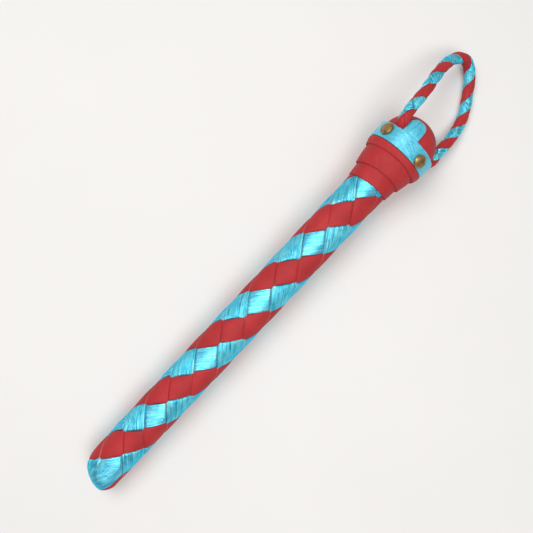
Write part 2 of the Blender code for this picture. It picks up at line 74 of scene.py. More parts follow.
CROSSING_PITCH = 15.4 * MM
FIRST_CROSSINGS = (26 * MM, 41 * MM, 54.5 * MM, 67.5 * MM, 82 * MM, 96.5 * MM)
LAST_CROSSING = 22
TIP_EASE = 1.6  # how much closer together the lines of the plait lie towards the pole
TIP_OPENING = 0.5 * MM  # smaller than the part's: the leather is drawn closer together here
BRAID_TURN = math.radians(-3)
TIP_TURN = math.radians(19)  # how much further round the plait has turned at the tip
TIP_TURN_REACH = 75 * MM

COLLAR_START = 330.6 * MM
COLLAR_STEP_1 = 342.6 * MM
COLLAR_STEP_2 = 357.1 * MM
BAND_START = 363.2 * MM
BAND_END = 376.8 * MM
BAND_RADIUS = 26.1 * MM
CAP_CENTRE = 378.2 * MM
CAP_RADIUS = 23.5 * MM
CROWN_DRAWN_IN = 1.2 * MM  # not the part's: the leather on the crown lies this much flatter
CAP_REACH = STICK_LENGTH - CAP_CENTRE - CROWN_DRAWN_IN

STUD_RADIUS = 5.5 * MM
STUD_HEIGHT = 2.6 * MM
STUD_PLACE = 369.4 * MM
STUD_LEAN = 0.07  # the row of studs stands this much askew round the band
STUD_ANGLES = [math.radians(a) for a in (-48, 36, 132, 222)]

CORD_RADIUS = 4.1 * MM
TABLE_CLEARANCE = 0.02 * MM
ROOT_PLACES = (377.3 * MM, 380.2 * MM, 383.2 * MM)  # along the stick, where the loop comes out
ROOT_RADII = (19.3 * MM, 23.4 * MM, 27.4 * MM)
FIRST_ROOT_ANGLE = math.radians(-33.5)
LAST_ROOT_ANGLE = math.radians(115)
EXIT_PLACE = 379.3 * MM  # on the knob's face, where the loop's first end leaves it
EXIT_RADIUS = 22.1 * MM
# The middle of the loop between its ends, in millimetres from the part's origin
LOOP_GUIDES = [
    (194.3, 17.2, 47.7),
    (210.5, 17.9, 43),
    (229, 20.2, 36),
    (244.5, 21, 28),
    (256.7, 18.7, 21),
    (264.5, 13, 15),
    (265.2, 6.3, 10),
    (260, -1.4, 7),
    (252.4, -7.4, 5.2),
    (242.6, -14.2, 4.6),
    (232.5, -19.7, 4.6),
    (220.9, -23, 6.5),
    (207, -24.4, 10),
    (193.2, -24.3, 14),
]


# ---------------------------------------------------------------- numbers


def hashed(i, j, seed):
    """A repeatable number from -1 to 1 for each corner of a grid."""
    n = (i * 374761393 + j * 668265263 + seed * 974634777) & 0x7FFFFFFF
    n = ((n ^ (n >> 13)) * 1274126177) & 0x7FFFFFFF
    n = n ^ (n >> 16)
    return (n & 0xFFFF) / 32767.5 - 1


def noise(x, y, seed=0):
    """Smooth noise from -1 to 1 over a plane, one bump to each unit."""
    x, y = np.broadcast_arrays(np.asarray(x, float), np.asarray(y, float))
    i, j = np.floor(x).astype(np.int64), np.floor(y).astype(np.int64)
    u, v = x - i, y - j
    u, v = u * u * (3 - 2 * u), v * v * (3 - 2 * v)
    low = hashed(i, j, seed) * (1 - u) + hashed(i + 1, j, seed) * u
    high = hashed(i, j + 1, seed) * (1 - u) + hashed(i + 1, j + 1, seed) * u
    return low * (1 - v) + high * v


def smooth_step(x, low, high):
    """0 below low and 1 above high, with a smooth rise between them."""
    t = np.clip((x - low) / (high - low), 0, 1)
    return t * t * (3 - 2 * t)


STEPS_PER_GUIDE = 24


def smooth_line(points, spacing):
    """Evenly spaced points on a smooth curve through these ones."""
    p = np.array(points, float)
    p = np.vstack([2 * p[0] - p[1], p, 2 * p[-1] - p[-2]])
    t = np.linspace(0, 1, STEPS_PER_GUIDE, endpoint=False)[:, None]
    pieces = []
    for p0, p1, p2, p3 in zip(p, p[1:], p[2:], p[3:]):
        bend, twist = 2 * p0 - 5 * p1 + 4 * p2 - p3, 3 * p1 - p0 - 3 * p2 + p3
        pieces.append(0.5 * (2 * p1 + (p2 - p0) * t + bend * t**2 + twist * t**3))
    fine = np.vstack([*pieces, p[-2]])
    run = np.concatenate([[0], np.cumsum(np.linalg.norm(np.diff(fine, axis=0), axis=1))])
    places = np.linspace(0, run[-1], round(run[-1] / spacing) + 1)
    return np.stack([np.interp(places, run, fine[:, k]) for k in range(p.shape[1])], axis=1)


# ---------------------------------------------------------------- where the stick lies


def stick_axes():
    """The tip's pole and the stick's x, y and z directions, read off the turned core dowel."""
    verts = np.array([v.co for v in frame["nodes"]["core_dowel"].data.vertices])
    pole = verts[np.argmin(verts[:, 0])]
    end = verts[verts[:, 0] > verts[:, 0].max() - 1 * MM]
    centre = (end.min(axis=0) + end.max(axis=0)) / 2
    forward = (centre - pole) / np.linalg.norm(centre - pole)
    side = np.array([0.0, 1.0, 0.0])
    return centre - forward * DOWEL_END, forward, side, np.cross(forward, side)


TIP, FORWARD, SIDE, UP = stick_axes()


def above_table(points):
    """The same points, with any that would dip under the table laid on it."""
    points[..., 2] = np.maximum(points[..., 2], TABLE_CLEARANCE)
    return points


def placed(x, y, z):
    """World points from places on the stick's own axes."""
    return above_table(TIP + x[..., None] * FORWARD + y[..., None] * SIDE + z[..., None] * UP)


def around(x, radius, angle):
    """World points this far along, out from and round the stick's axis."""
    x, radius, angle = np.broadcast_arrays(*(np.asarray(v, float) for v in (x, radius, angle)))
    return placed(x, -radius * np.sin(angle), radius * np.cos(angle))


# ---------------------------------------------------------------- meshes


def quads(rows, cols, closed):
    """The corner numbers of a grid's faces, with the last column joined to the first."""
    index = np.arange(rows * cols).reshape(rows, cols)
    beside = np.roll(index, -1, axis=1)
    if closed:
        after, after_beside = np.roll(index, -1, axis=0), np.roll(beside, -1, axis=0)
    else:
        index, beside, after, after_beside = index[:-1], beside[:-1], index[1:], beside[1:]
    return np.stack([index, beside, after_beside, after], axis=-1)


def loft(points, closed=False, paint=None, lay=None):
    """A skin over a grid of points [row, column, xyz], as a dict of arrays.

    Columns close round. Rows close round too if closed, and otherwise end in caps.
    paint gives each column of faces its material, and lay gives each point its place on the flat strip.
    """
    rows, cols = points.shape[:2]
    faces = quads(rows, cols, closed)
    paint = np.zeros(cols, int) if paint is None else np.asarray(paint)
    colours = np.broadcast_to(paint, faces.shape[:2]).reshape(-1)
    flat = points.reshape(-1, 3)
    faces = faces.reshape(-1, 4)
    corners = faces.reshape(-1)
    lay = np.zeros((rows, cols, 2)) if lay is None else lay
    places = lay.reshape(-1, 2)[corners]
    shape = {"points": flat, "faces": faces.tolist(), "colours": colours.tolist(), "lay": places}
    if not closed:
        first, last = list(range(cols)), list(range((rows - 1) * cols, rows * cols))
        shape["faces"] += [first[::-1], last]
        shape["colours"] += [0, 0]
        ends = [lay[0, 0]] * cols + [lay[-1, 0]] * cols
        shape["lay"] = np.vstack([places, ends])
    return shape


def signed_volume(shape):
    """Six times the volume that the quads enclose, negative when they face inwards."""
    four = np.array([f for f in shape["faces"] if len(f) == 4])
    p = shape["points"][four]
    p = p - shape["points"].mean(axis=0)
    first = np.einsum("ij,ij->i", p[:, 0], np.cross(p[:, 1], p[:, 2]))
    second = np.einsum("ij,ij->i", p[:, 0], np.cross(p[:, 2], p[:, 3]))
    return (first + second).sum()


def make(name, shapes, materials, sharp=50):
    """One object from one or more lofted shapes, with edges over this angle in degrees left sharp."""
    points, faces, colours, lays = [], [], [], []
    start = 0
    for shape in shapes:
        inward = signed_volume(shape) < 0
        step = -1 if inward else 1
        count = 0
        for face in shape["faces"]:
            faces.append([start + c for c in face[::step]])
            lays.append(shape["lay"][count : count + len(face)][::step])
            count += len(face)
        points.append(shape["points"])
        colours += shape["colours"]
        start += len(shape["points"])
    mesh = bpy.data.meshes.new(name)
    mesh.from_pydata(np.vstack(points).tolist(), [], faces)
    for used in materials:
        mesh.materials.append(used)
    mesh.polygons.foreach_set("material_index", colours)
    layer = mesh.uv_layers.new(name="lay")
    layer.data.foreach_set("uv", np.vstack(lays).astype(np.float32).ravel())
    mesh.shade_smooth()
    mesh.set_sharp_from_angle(angle=math.radians(sharp))
    mesh.update()
    obj = bpy.data.objects.new(name, mesh)
    bpy.context.scene.collection.objects.link(obj)
    return obj


def stand_for(obj, node):
    """Puts the piece in this CAD node's stead on the stick: hides the node and hangs the piece on the
    stick's body.
    """
    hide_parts(node)
    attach(obj, "stick")


# ---------------------------------------------------------------- materials


class Paint:
    """A material with short ways to add the nodes used here."""

    def __init__(self, name, **sockets):
        self.made = bpy.data.materials.new(name)
        self.made.use_nodes = True
        self.tree = self.made.node_tree
        self.shader = self.tree.nodes["Principled BSDF"]
        for socket, value in sockets.items():
            self.feed(self.shader.inputs[socket.replace("_", " ")], value)

    def feed(self, socket, value):
        """Sets an input to a number, or links another node's output to it."""
        if isinstance(value, bpy.types.NodeSocket):
            self.tree.links.new(value, socket)
        else:
            socket.default_value = value

    def node(self, kind, settings=(), **inputs):
        """A node with these settings and inputs."""
        made = self.tree.nodes.new(kind)
        for key, value in dict(settings).items():
            setattr(made, key, value)
        for key, value in inputs.items():
            self.feed(made.inputs[key.replace("_", " ")], value)
        return made

    def object_place(self, scale=(1, 1, 1)):
        """Places on the object in metres, stretched by scale."""
        where = self.node("ShaderNodeTexCoord").outputs["Object"]
        return self.node("ShaderNodeMapping", Vector=where, Scale=scale).outputs[0]

    def strip_place(self, scale):
        """Places on the flat strip in metres, stretched by scale."""
        where = self.node("ShaderNodeUVMap", {"uv_map": "lay"}).outputs["UV"]
        return self.node("ShaderNodeMapping", Vector=where, Scale=scale).outputs[0]

    def noise(self, where, scale, detail=4.0, roughness=0.55, distortion=0.0):
        """Cloudy noise from 0 to 1, with this many bumps to a metre."""
        made = self.node(
            "ShaderNodeTexNoise",
            Vector=where,
            Scale=scale,
            Detail=detail,
            Roughness=roughness,
            Distortion=distortion,
        )
        return made.outputs["Fac"]

    def cells(self, where, scale, feature="F1"):
        """Distances in a pattern of cells, with this many cells to a metre."""
        made = self.node("ShaderNodeTexVoronoi", {"feature": feature}, Vector=where, Scale=scale)
        return made.outputs["Distance"]

    def ramp(self, value, stops):
        """Colours by value: stops are (place, (r, g, b)) in order."""
        made = self.node("ShaderNodeValToRGB", Fac=value)
        marks = made.color_ramp.elements
        while len(marks) < len(stops):
            marks.new(0.5)
        for mark, (place, colour) in zip(marks, stops):
            mark.position = place
            mark.color = (*colour, 1)
        return made.outputs["Color"]

    def span(self, value, low, high, to_low, to_high):
        """The value moved from one range to another."""
        ends = {"From_Min": low, "From_Max": high, "To_Min": to_low, "To_Max": to_high}
        return self.node("ShaderNodeMapRange", Value=value, **ends).outputs["Result"]

    def blend(self, first, second, share):
        """The sum of two values, of which the first counts for this share."""
        parts = [self.maths("MULTIPLY", first, share), self.maths("MULTIPLY", second, 1 - share)]
        return self.maths("ADD", *parts)

    def maths(self, operation, first, second):
        """One sum on two values."""
        made = self.node("ShaderNodeMath", {"operation": operation})
        self.feed(made.inputs[0], first)
        self.feed(made.inputs[1], second)
        return made.outputs[0]

    def bump(self, height, distance, strength=1.0, after=None):
        """Bumps this many metres high, on top of the bumps in after."""
        made = self.node("ShaderNodeBump", Height=height, Distance=distance, Strength=strength)
        if after is not None:
            self.tree.links.new(after, made.inputs["Normal"])
        return made.outputs["Normal"]

    def use(self, socket, output):
        """Links another node's output to the shader."""
        self.tree.links.new(output, self.shader.inputs[socket])


def red_leather():
    """Matt dyed leather: a fine pebbled grain, cloudy colour and a few shallow scuffs."""
    p = Paint("red_leather", Metallic=0.0, Specular_IOR_Level=0.3)
    where = p.object_place()
    clouds = p.noise(where, 55, 5)
    fine = p.noise(where, 900, 3)
    dark, usual, worn = (0.350, 0.0175, 0.0200), (0.446, 0.0240, 0.0275), (0.500, 0.0335, 0.0370)
    p.use("Base Color", p.ramp(p.blend(clouds, fine, 0.75), [(0.30, dark), (0.52, usual), (0.74, worn)]))
    p.use("Roughness", p.span(fine, 0.3, 0.7, 0.52, 0.72))
    pebbles = p.cells(where, 1500)
    creases = p.noise(where, 260, 6, 0.6, 0.4)
    rough = p.bump(pebbles, 0.10 * MM, 0.35)
    p.use("Normal", p.bump(creases, 0.25 * MM, 0.5, after=rough))
    return p.made


# Foil colours in linear light: deep for the painted shade in the creases, usual, and pale for the painted
# highlight on the crests
BRIGHT_FOIL = [(0.010, 0.34, 0.56), (0.100, 0.69, 0.92), (0.37, 0.98, 1.0)]
CALM_FOIL = [(0.062, 0.44, 0.66), (0.120, 0.645, 0.885), (0.29, 0.85, 0.98)]
WIDE_FOIL = [(0.046, 0.42, 0.60), (0.092, 0.53, 0.70), (0.13, 0.62, 0.79)]


def foil_colours(p, streaks, mottle, colours):
    """The foil's colour: darker in its creases as painted shade and paler on the crests between them as
    painted highlight, mixed a little with random mottle.
    """
    deep, usual, pale = colours
    # The crease pattern that also drives the bump paints shade in its hollows and a highlight on its
    # crests
    p.use("Base Color", p.ramp(p.blend(streaks, mottle, 0.8), [(0.36, deep), (0.48, usual), (0.62, pale)]))
    p.use("Roughness", p.span(mottle, 0.3, 0.7, 0.28, 0.42))


def blue_foil(name, depth, colours):
    """Metallic foil-faced leather with creases this deep that run across the strip."""
    p = Paint(name, Metallic=0.96, Specular_Tint=(0.20, 0.71, 0.93, 1))
    strip = p.strip_place((1, 0.055, 1))
    streaks = p.noise(strip, 780, 5, 0.72, 0.3)
    fine = p.noise(p.strip_place((1, 0.25, 1)), 1500, 3, 0.6)
    mottle = p.noise(p.object_place(), 190, 4)
    # painted shade in the creases and painted highlight on the crests
    foil_colours(p, streaks, mottle, colours)
    small = p.bump(fine, 0.06 * MM, 0.6)
    p.use("Normal", p.bump(streaks, depth, 1.0, after=small))
    return p.made


def blue_foil_wide(name, stretch):
    """The same foil where it is stretched over the knob: fine creases, drawn out by stretch."""
    p = Paint(name, Metallic=0.18, Coat_Weight=0.06, Coat_Roughness=0.2)
    where = p.object_place(stretch)
    streaks = p.noise(where, 330, 6, 0.6, 1.1)
    mottle = p.noise(where, 120, 4)
    cracks = p.cells(where, 520, "DISTANCE_TO_EDGE")
    # painted shade in the creases and painted highlight on the crests
    foil_colours(p, streaks, mottle, WIDE_FOIL)
    small = p.bump(cracks, 0.10 * MM, 0.25)
    p.use("Normal", p.bump(streaks, 0.25 * MM, 0.5, after=small))
    return p.made


def cut_edge(name, dark, pale):
    """The raw cut edge of a strip: matt, fibrous and a little uneven."""
    p = Paint(name, Metallic=0.0)
    where = p.object_place()
    fibres = p.noise(where, 700, 5, 0.65)
    p.use("Base Color", p.ramp(fibres, [(0.3, dark), (0.7, pale)]))
    p.use("Roughness", p.span(fibres, 0.3, 0.7, 0.7, 0.95))
    p.use("Normal", p.bump(fibres, 0.12 * MM, 0.8))
    return p.made


def antique_brass():
    """Brass nail heads, browned in their hollows and rubbed bright on their crowns."""
    p = Paint("antique_brass", Metallic=0.92)
    where = p.object_place()
    patina = p.noise(where, 260, 4, 0.6, 0.3)
    brown, usual, bright = (0.16, 0.085, 0.028), (0.34, 0.20, 0.075), (0.52, 0.35, 0.16)
    p.use("Base Color", p.ramp(patina, [(0.30, brown), (0.50, usual), (0.70, bright)]))
    p.use("Roughness", p.span(patina, 0.3, 0.7, 0.56, 0.46))
    p.use("Normal", p.bump(p.noise(where, 500, 3), 0.06 * MM, 0.5))
    return p.made


def sawn_wood():
    """Pale wood with its grain along the stick."""
    p = Paint("sawn_wood", Metallic=0.0)
    rings = p.noise(p.object_place((0.06, 1, 1)), 420, 6, 0.6, 0.6)
    p.use("Base Color", p.ramp(rings, [(0.3, (0.30, 0.17, 0.08)), (0.7, (0.62, 0.43, 0.25))]))
    p.use("Roughness", p.span(rings, 0.3, 0.7, 0.6, 0.85))
    p.use("Normal", p.bump(rings, 0.2 * MM, 0.6))
    return p.made


def waxed_thread():
    """Dark thread wound round the stick, turn beside turn."""
    p = Paint("waxed_thread", Metallic=0.0)
    where = p.object_place()
    wave = p.node("ShaderNodeTexWave", {"bands_direction": "X"}, Vector=where, Scale=420.0)
    turns = wave.outputs["Fac"]
    # Near black in the grooves between turns and brown on their tops: painted shade from the same bands as
    # the bump
    p.use("Base Color", p.ramp(turns, [(0.2, (0.03, 0.025, 0.02)), (0.8, (0.16, 0.13, 0.10))]))
    p.use("Roughness", p.span(turns, 0, 1, 0.6, 0.85))
    p.use("Normal", p.bump(turns, 0.2 * MM, 1.0))
    return p.made


def table_top():
    """A plain pale surface, faintly uneven in colour."""
    p = Paint("table_top", Metallic=0.0, Roughness=0.9, Specular_IOR_Level=0.1)
    faint = p.noise(p.object_place(), 6, 3)
    p.use("Base Color", p.ramp(faint, [(0.3, (0.802, 0.783, 0.763)), (0.7, (0.820, 0.800, 0.781))]))
    return p.made


RED = red_leather()
BLUE = blue_foil("blue_foil", 1.2 * MM, BRIGHT_FOIL)
BLUE_CALM = blue_foil("blue_foil_calm", 0.75 * MM, CALM_FOIL)
BLUE_BAND = blue_foil_wide("blue_foil_band", (1.9, 0.55, 0.55))  # creases run round the stick
BLUE_TAB = blue_foil_wide("blue_foil_tab", (0.6, 1.3, 1.3))  # and here along it
TAUPE_EDGE = cut_edge("cut_edge_blue", (0.34, 0.35, 0.27), (0.52, 0.52, 0.42))
BROWN_EDGE = cut_edge("cut_edge_red", (0.46, 0.125, 0.108), (0.61, 0.185, 0.16))
DARK_RED_EDGE = cut_edge("dyed_edge_red", (0.26, 0.012, 0.015), (0.48, 0.03, 0.035))
DARK_BLUE_EDGE = cut_edge("dyed_edge_blue", (0.02, 0.16, 0.24), (0.06, 0.36, 0.48))
BRASS = antique_brass()


# ---------------------------------------------------------------- camera and light

SENSOR_WIDTH = 36.0  # in millimetres, like the focal length
FOCAL_LENGTH = 40.19
CAMERA_PLACE = (0.0280, 0.0154, 0.506)
CAMERA_TURN = math.radians(-47.0)
TABLE_HALF = 3.0  # half the table's width


def look_down():
    """The camera hangs over the stick, which climbs from the lower left to the upper right."""
    data = bpy.data.cameras.new("camera")
    data.sensor_width = SENSOR_WIDTH
    data.lens = FOCAL_LENGTH
    data.clip_start = 0.01
    camera = bpy.data.objects.new("camera", data)
    camera.location = CAMERA_PLACE
    camera.rotation_euler = (0, 0, CAMERA_TURN)
    bpy.context.scene.collection.objects.link(camera)
    bpy.context.scene.camera = camera


def softbox(name, place, size, power):
    """A square area light that faces the middle of the stick."""
    data = bpy.data.lights.new(name, "AREA")
    data.shape = "SQUARE"
    data.size = size
    data.energy = power
    light = bpy.data.objects.new(name, data)
    light.location = place
    light.rotation_euler = (-Vector(place)).to_track_quat("-Z", "Y").to_euler()
    bpy.context.scene.collection.objects.link(light)


def light_the_table():
    """Two large soft lights and an even, slightly cool glow from all round."""
    softbox("softbox_high", (0.12, 0.58, 1.28), 0.8, 10.3)
    softbox("softbox_low", (-0.15, -0.46, 1.30), 0.7, 8.0)
    world = bpy.data.worlds.new("studio")
    world.use_nodes = True
    shade = world.node_tree.nodes["Background"]
    shade.inputs["Color"].default_value = (0.97, 0.975, 0.98, 1)
    shade.inputs["Strength"].default_value = 0.36
    bpy.context.scene.world = world
    bpy.context.scene.view_settings.view_transform = "Standard"


def lay_table():
    """The surface that the stick and its loop lie on."""
    mesh = bpy.data.meshes.new("table")
    corners = [(TABLE_HALF * x, TABLE_HALF * y, 0) for x, y in ((-1, -1), (1, -1), (1, 1), (-1, 1))]
    mesh.from_pydata(corners, [], [(0, 1, 2, 3)])
    mesh.materials.append(table_top())
    table = bpy.data.objects.new("table", mesh)
    bpy.context.scene.collection.objects.link(table)


# ---------------------------------------------------------------- a plait, flat and wound round a core

DIVE_BEFORE = 0.018  # a strip starts down this far short of the covering edge, in crossings
DIVE_AFTER = 0.034  # and is down this far past it
UNDER_POINTS = 5  # across the underside of a strip
ROLLED_FROM = 0.84  # its face rolls over from here to its edge, as a share of its half width
ROLLED_BY = 0.14  # and comes down by this share of its thickness
CUT_MIDDLE = 0.12  # the height of the point on its cut edge, as a share of its thickness


def strip_section(half, slant, thickness, crown, count):
    """Across a strip, from one edge over its face to the other and back under it.

    The face bulges by crown, and its cut edges slant in by slant. Returns the places across, the
    heights, how far each point takes part in the face's shape, and which faces are cut edge.
    """
    top = np.linspace(-1, 1, count) * (half - slant)
    rolled = smooth_step(np.abs(top), ROLLED_FROM * half, half)
    face = thickness / 2 + crown * (1 - (top / half) ** 2) - ROLLED_BY * thickness * rolled
    under = np.linspace(1, -1, UNDER_POINTS) * half
    across = np.concatenate([top, [half - slant / 3], under, [slant / 3 - half]])
    middle = [CUT_MIDDLE * thickness]
    height = np.concatenate([face, middle, np.full(UNDER_POINTS, -thickness / 2), middle])
    share = np.concatenate([np.clip(1.15 - rolled, 0, 1), np.zeros(UNDER_POINTS + 2)])
    cut = np.zeros(len(across), int)
    cut[count - 1 : count + 1] = 1
    cut[-2:] = 1
    return across, height, share, cut


def over_at(nearest, own, right_hand):
    """Whether a strip passes over the crosswise strip with this number."""
    return ((nearest - own) % 2 == 0) == right_hand


def crossing_level(along, own, right_hand, cover):
    """1 where a strip passes over its neighbours and -1 where it passes under, with a steep dive.

    It dives just inside the edge of the strip that covers it, whose half width is cover.
    """
    nearest = np.round(along)
    beyond = np.where(along > nearest, 1, -1)
    over = over_at(nearest, own, right_hand)
    away = np.abs(along - np.where(over, nearest, nearest + beyond))
    return 1 - 2 * smooth_step(away, 1 - cover - DIVE_BEFORE, 1 - cover + DIVE_AFTER)


def row_places(crossings, per_crossing, cover):
    """Places of the rows along a strip in crossings, closer together where it dives."""
    even = np.linspace(0, crossings, crossings * per_crossing + 1)
    edges = np.linspace(1 - cover - DIVE_BEFORE, 1 - cover + DIVE_AFTER, 6)
    middles = np.arange(-1, crossings + 2)[:, None]
    dives = np.concatenate([middles + edges, middles - edges]).ravel()
    dives = dives[(dives > 0) & (dives < crossings)]
    every = np.unique(np.round(np.concatenate([even, dives]), 5))
    return every[:, None]


def plait_lines(own, right_hand, across, rows):
    """The two line numbers (a, b) of each point of a strip with rows at these places along it.

    A right-hand strip follows a line of its own a, and crosses one b after another, and a left-hand
    strip the other way round. b - a is how far along the plait a point is, in crossings.
    """
    crossings = rows[-1, 0]
    shear = np.clip(1 - rows, 0, 1) + np.clip(rows - crossings + 1, 0, 1)
    across = across[None, :]
    if right_hand:
        return own + across + 0 * rows, own + rows + across * shear
    return own - rows + across * shear, own + across + 0 * rows


# ---------------------------------------------------------------- the plait on the stick


def outline_from_pole():
    """The core's outline by distance from its pole: distance, x, radius and outward normal."""
    t = np.linspace(0, math.pi / 2, 401)
    x = CORE_TIP + TIP_LENGTH * (1 - np.cos(t) ** (2 / TIP_BLUNTNESS))
    radius = CORE_RADIUS * np.sin(t) ** (2 / TIP_BLUNTNESS)
    x, radius = np.append(x, STICK_LENGTH), np.append(radius, CORE_RADIUS)
    distance = np.concatenate([[0], np.cumsum(np.hypot(np.diff(x), np.diff(radius)))])
    slope_x, slope_r = np.gradient(x, distance), np.gradient(radius, distance)
    slope_x[0], slope_r[-1] = 0.0, 0.0
    length = np.hypot(slope_x, slope_r)
    return distance, x, radius, -slope_r / length, slope_x / length


OUTLINE = outline_from_pole()
RING_PLACES = [*FIRST_CROSSINGS]
while len(RING_PLACES) < LAST_CROSSING:
    RING_PLACES.append(RING_PLACES[-1] + CROSSING_PITCH)
RING_DISTANCES = np.array(RING_PLACES) + OUTLINE[0][-2] - OUTLINE[1][-2]

# The plait's end is nipped in unevenly: shorter, slanted, narrower and off to one side.
NIP_REACH = 5.5 * MM
NIP_SHORTER = 1.9 * MM
NIP_SLANT = 0.20
NIP_NARROWER = 0.33
NIP_ASIDE = 6.0 * MM
NIP_UP = 2.5 * MM
# Towards the collar the plait lies further on, and more so on its +y side.
LEAN_START = 170 * MM
LEAN_END = 320 * MM
LEAN_ON = 1.6 * MM
LEAN = 0.11
# One blue strand is drawn wide over the tip, because the crossings on one side of it have slipped
# round one way, and those on its other side a little the other way.
SLIP = math.radians(44)
SLIP_MIDDLE = math.radians(-62)
SLIP_WIDTH = math.radians(52)
SLIP_END = 23 * MM
BACK = math.radians(22)
BACK_MIDDLE = math.radians(72)
BACK_WIDTH = math.radians(36)
BACK_END = 38 * MM
SLIP_FULL = 9 * MM  # both are at their fullest up to here


def stick_point(a, b, height):
    """Where line a crosses line b on the stick, this high over its core."""
    ring = b - a
    first = RING_DISTANCES[0]
    near_tip = TIP_OPENING + (first - TIP_OPENING) * np.clip(ring, 0, 1) ** TIP_EASE
    further = np.interp(ring, np.arange(1, LAST_CROSSING + 1), RING_DISTANCES)
    distance = np.where(ring < 1, near_tip, further)
    x, radius, normal_x, normal_r = (np.interp(distance, OUTLINE[0], row) for row in OUTLINE[1:])
    turn = BRAID_TURN + TIP_TURN * np.exp(-((x / TIP_TURN_REACH) ** 2))
    angle = drawn_over_tip(x, turn + (a + b - 1) * math.pi / 4)
    near_pole = np.exp((CORE_TIP - x) / NIP_REACH)
    radius = (radius + height * normal_r) * (1 - NIP_NARROWER * near_pole)
    y, z = -radius * np.sin(angle), radius * np.cos(angle)
    leaning = smooth_step(x, LEAN_START, LEAN_END) * (LEAN_ON + LEAN * y)
    x = x + height * normal_x + (NIP_SHORTER + NIP_SLANT * y) * near_pole + leaning
    return placed(x, y - NIP_ASIDE * near_pole, z + NIP_UP * near_pole)


def from_angle(angle, middle):
    """How far round from the middle each angle is, between half a turn either way."""
    return (angle - middle + math.pi) % (2 * math.pi) - math.pi


def drawn_over_tip(x, angle):
    """The angle at x after the strands have slipped round the tip."""
    slipped = SLIP * np.exp(-((from_angle(angle, SLIP_MIDDLE) / SLIP_WIDTH) ** 2))
    back = BACK * np.exp(-((from_angle(angle, BACK_MIDDLE) / BACK_WIDTH) ** 2))
    slip_left = 1 - smooth_step(x, SLIP_FULL, SLIP_END)
    back_left = 1 - smooth_step(x, SLIP_FULL, BACK_END)
    return angle + back_left * back - slip_left * slipped


def creases(along, across, seed, depth):
    """Height of the creases that run across a strip, from places on it in millimetres.

    depth is how strongly this leather creases, from 0 to 1.
    """
    along = along + 0.18 * across + 1.0 * noise(along / 10, across / 8, seed + 5)
    deep = 1 - 2 * np.abs(noise(along / 4.3, across / 30, seed + 1))
    folds = noise(along / 1.9, across / 26, seed)
    ripple = noise(along / 1.1, across / 18, seed + 2)
    fade = 0.65 + 0.5 * noise(along / 14, across / 12, seed + 4)
    height = (0.16 * deep + 0.13 * folds + 0.10 * ripple) * fade
    broad = 0.05 * noise(along / 12, across / 10, seed + 3)
    return (height * depth + broad) * MM


# Half widths of the strands, and how far in their cut edges slant, where their lines are 1 apart
RIGHT_HALF = 0.550
LEFT_HALF = 0.468
RIGHT_SLANT = 0.012
LEFT_SLANT = 0.030
STRIP_LENGTH = 20 * MM  # along a strand from one crossing to the next
STRIP_WIDTH = 19.6 * MM  # of the room that a strand has
RIGHT_CREASES = 1.15
LEFT_CREASES = 0.45
RED_CREASES = 0.07  # against 1 for blue leather
STRAND_CROWN = 0.22 * MM  # how much a strand's face is domed across
STRAND_BULGE = 0.52 * MM  # how much more it stands up in the middle of a crossing
STRAND_THIN = 0.30 * MM  # how much it is pressed down where it is covered
STRAND_WAVER = 0.042  # how much its edges waver, as a share of its half width

# The leather and the cut edge of a strand, by whether it is blue and whether it is right-handed
STRAND_LOOKS = {
    (True, True): [BLUE, DARK_BLUE_EDGE],
    (True, False): [BLUE_CALM, TAUPE_EDGE],
    (False, True): [RED, DARK_RED_EDGE],
    (False, False): [RED, BROWN_EDGE],
}


def hump(along):
    """1 in the middle of each crossing, falling to 0 halfway to the next."""
    return 1 - (2 * (along - np.round(along))) ** 2


def stick_strand(name, own, right_hand, seed):
    """One of the eight strands, which stands for the CAD node of this name."""
    blue = SLOTS[name] == "leather_blue"
    half, cover = (RIGHT_HALF, LEFT_HALF) if right_hand else (LEFT_HALF, RIGHT_HALF)
    slant = RIGHT_SLANT if right_hand else LEFT_SLANT
    strength = RIGHT_CREASES if right_hand else LEFT_CREASES
    across, height, share, cut = strip_section(half, slant, LEATHER, STRAND_CROWN, 21)
    rows = row_places(LAST_CROSSING, 36 if blue else 20, cover)
    a, b = plait_lines(own, right_hand, across, rows)
    along = b if right_hand else a
    level = crossing_level(along, own, right_hand, cover)
    waver = 1 + STRAND_WAVER * noise(rows * 1.7, np.sign(across)[None, :] * 9, seed)
    a, b = (own + (a - own) * waver, b) if right_hand else (a, own + (b - own) * waver)
    flat_u = rows * STRIP_LENGTH / MM + 0 * across
    flat_v = across[None, :] * STRIP_WIDTH / MM + 0 * rows
    near_tip = np.clip((b - a) / 1.2, 0.15, 1)
    over = np.clip(level, 0, 1)
    folds = strength * creases(flat_u, flat_v, seed, 1.0 if blue else RED_CREASES) * share
    raised = (folds + STRAND_BULGE * share * hump(along)) * over * near_tip
    thin = np.where(level < 0.2, STRAND_THIN * share, 0)
    points = stick_point(a, b, LAYER_MIDDLE + level * LAYER_STEP + height + raised - thin)
    lay = np.stack([flat_u, flat_v], axis=-1) * MM
    shape = loft(points, paint=cut, lay=lay)
    stand_for(make(name + "_leather", [shape], STRAND_LOOKS[blue, right_hand]), name)


def plait_stick():
    """Four strands wound each way, over one and under one."""
    for own in range(4):
        stick_strand(f"strand_right_{own + 1}", own, True, 11 + own)
        stick_strand(f"strand_left_{own + 1}", own, False, 31 + own)


# ---------------------------------------------------------------- the knob

